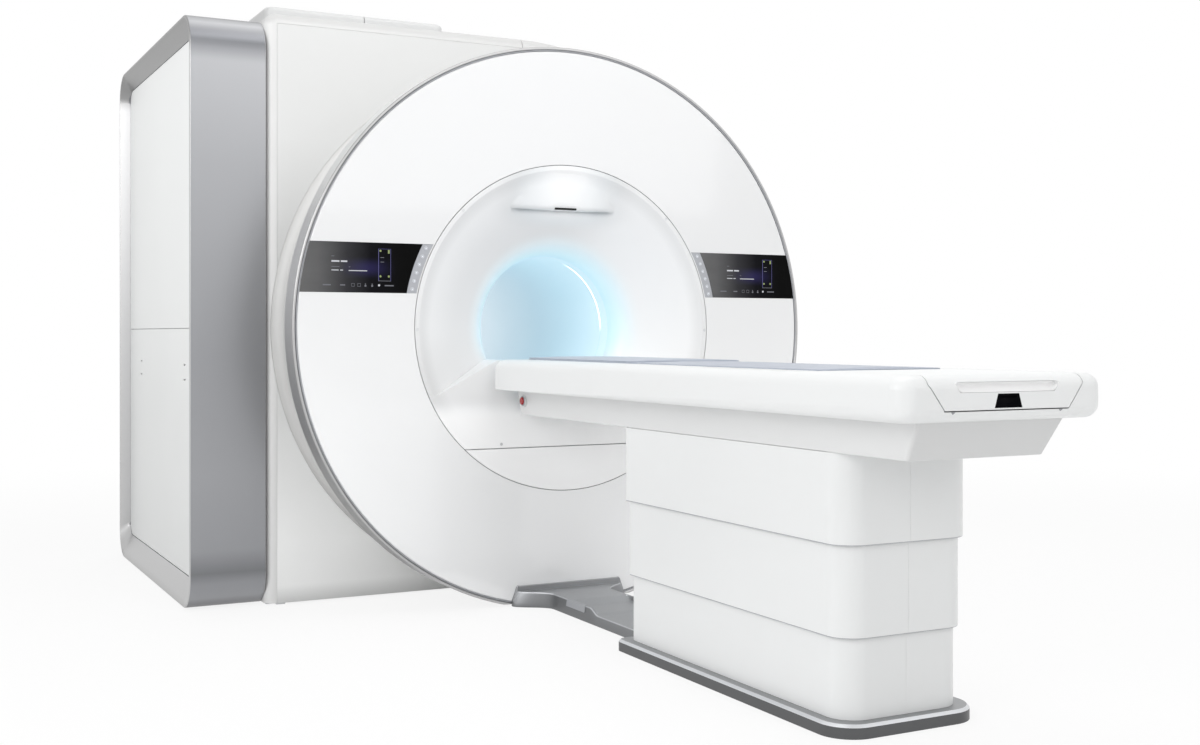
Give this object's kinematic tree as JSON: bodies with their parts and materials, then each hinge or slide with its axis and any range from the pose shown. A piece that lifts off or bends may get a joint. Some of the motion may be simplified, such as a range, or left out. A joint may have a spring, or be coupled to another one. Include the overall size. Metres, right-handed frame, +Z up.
{
  "type": "mri scanner",
  "caption": "Cylindrical-bore magnetic resonance scanner with a round front cover, side cabinet and a docked patient table that lifts and slides its cradle into the bore.",
  "frame": {"origin": "on the floor, vertically below the isocentre, in the underside of the magnet's base plate", "axes": "+Z up; +Y along the patient axis from the table into the bore; +X to the right of someone who faces the bore from the table's side"},
  "size_m": [2.681, 4.622, 2.476],
  "materials": {
    "cover_white": "gloss",
    "bezel_white": "gloss",
    "body_white": "satin",
    "rim_metal": "satin",
    "band_silver": "satin",
    "panel_white": "satin",
    "display_black": "gloss",
    "key_grey": "satin",
    "window_black": "gloss",
    "vessel_steel": "satin",
    "coil_resin": "matte",
    "coil_copper": "satin",
    "liner_white": "satin",
    "light_guide": "gloss",
    "frame_metal": "matte",
    "screw_steel": "satin",
    "cooler_steel": "satin",
    "module_grey": "matte",
    "tray_grey": "satin",
    "insert_light": "satin",
    "base_grey": "satin",
    "pedestal_white": "satin",
    "column_steel": "polished",
    "beam_white": "satin",
    "top_white": "gloss",
    "cradle_white": "gloss",
    "rail_grey": "matte",
    "catch_black": "satin",
    "mattress_grey": "satin",
    "belt_black": "matte",
    "pulley_metal": "satin",
    "motor_dark": "satin",
    "stop_red": "gloss"
  },
  "bodies": {
    "gantry": {"magnet_base": "base_grey", "magnet_vessel": "vessel_steel", "gradient_coil": "coil_resin", "rf_body_coil": "coil_copper", "bore_liner": "liner_white", "bore_bridge": "liner_white", "light_ring": "light_guide", "front_bezel": "bezel_white", "lower_bezel_panel": "bezel_white", "camera_window": "window_black", "front_disc_cover": "cover_white", "rim_ring": "rim_metal", "collar_cover": "body_white", "front_cover_frame": "frame_metal", "body_front_panel": "body_white", "body_rear_panel": "body_white", "rear_bezel": "bezel_white", "left_body_cover": "body_white", "right_upper_cover": "body_white", "right_side_cover": "body_white", "body_frame_front": "frame_metal", "body_frame_rear": "frame_metal", "turret_cover_left": "body_white", "turret_cover_right": "body_white", "cold_head": "cooler_steel", "cabinet_band": "band_silver", "cabinet_upper_panel": "panel_white", "cabinet_lower_panel": "panel_white", "cabinet_frame": "frame_metal", "cabinet_modules": "module_grey", "display_left": "display_black", "display_right": "display_black", "keypad_left": "key_grey", "keypad_right": "key_grey", "bezel_screws": "screw_steel", "floor_tray": "tray_grey", "tray_lip_insert": "insert_light", "base_plate": "base_grey", "lower_cover_left": "pedestal_white", "lower_cover_right": "pedestal_white", "lift_column_lower": "column_steel"},
    "middle_stage": {"middle_cover_left": "pedestal_white", "middle_cover_right": "pedestal_white", "lift_column_middle": "column_steel"},
    "table_carriage": {"upper_cover_left": "pedestal_white", "upper_cover_right": "pedestal_white", "lift_column_upper": "column_steel", "table_beam": "beam_white", "tabletop_frame": "top_white", "cradle_rails": "rail_grey", "drive_motor": "motor_dark", "drive_belt": "belt_black"},
    "cradle": {"cradle": "cradle_white", "mattress_head": "mattress_grey", "mattress_body": "mattress_grey"},
    "cradle_release": {"cradle_release": "catch_black"},
    "drive_pulley": {"drive_pulley": "pulley_metal"},
    "idler_pulley": {"idler_pulley": "pulley_metal"},
    "stop_button_left": {"stop_button_left": "stop_red"},
    "stop_button_right": {"stop_button_right": "stop_red"}
  },
  "joints": [
    {"name": "table_lift", "type": "slide", "parent": "gantry", "child": "table_carriage", "axis": [0, 0, 1], "range_m": [-0.43, 0]},
    {"name": "middle_stage_lift", "type": "slide", "parent": "gantry", "child": "middle_stage", "axis": [0, 0, 1], "range_m": [-0.215, 0]},
    {"name": "cradle_slide", "type": "slide", "parent": "table_carriage", "child": "cradle", "axis": [0, 1, 0], "range_m": [0, 1.9]},
    {"name": "drive_pulley_spin", "type": "hinge", "parent": "table_carriage", "child": "drive_pulley", "pos_m": [0, -3.38, 0.836], "axis": [1, 0, 0], "continuous": true},
    {"name": "idler_pulley_spin", "type": "hinge", "parent": "table_carriage", "child": "idler_pulley", "pos_m": [0, -1.25, 0.836], "axis": [1, 0, 0], "continuous": true},
    {"name": "release_press", "type": "slide", "parent": "cradle", "child": "cradle_release", "axis": [0, 1, 0], "range_m": [0, 0.006], "stiffness_N_per_m": 1500, "springref_m": -0.002},
    {"name": "stop_left_press", "type": "slide", "parent": "table_carriage", "child": "stop_button_left", "axis": [1, 0, 0], "range_m": [0, 0.005], "stiffness_N_per_m": 2000, "springref_m": -0.002},
    {"name": "stop_right_press", "type": "slide", "parent": "table_carriage", "child": "stop_button_right", "axis": [-1, 0, 0], "range_m": [0, 0.005], "stiffness_N_per_m": 2000, "springref_m": -0.002}
  ],
  "couplings": [
    {"joint": "middle_stage_lift", "follows": "table_lift", "ratio": 0.5},
    {"joint": "drive_pulley_spin", "follows": "cradle_slide", "rad_per_m": -37.3},
    {"joint": "idler_pulley_spin", "follows": "cradle_slide", "rad_per_m": -37.3}
  ]
}
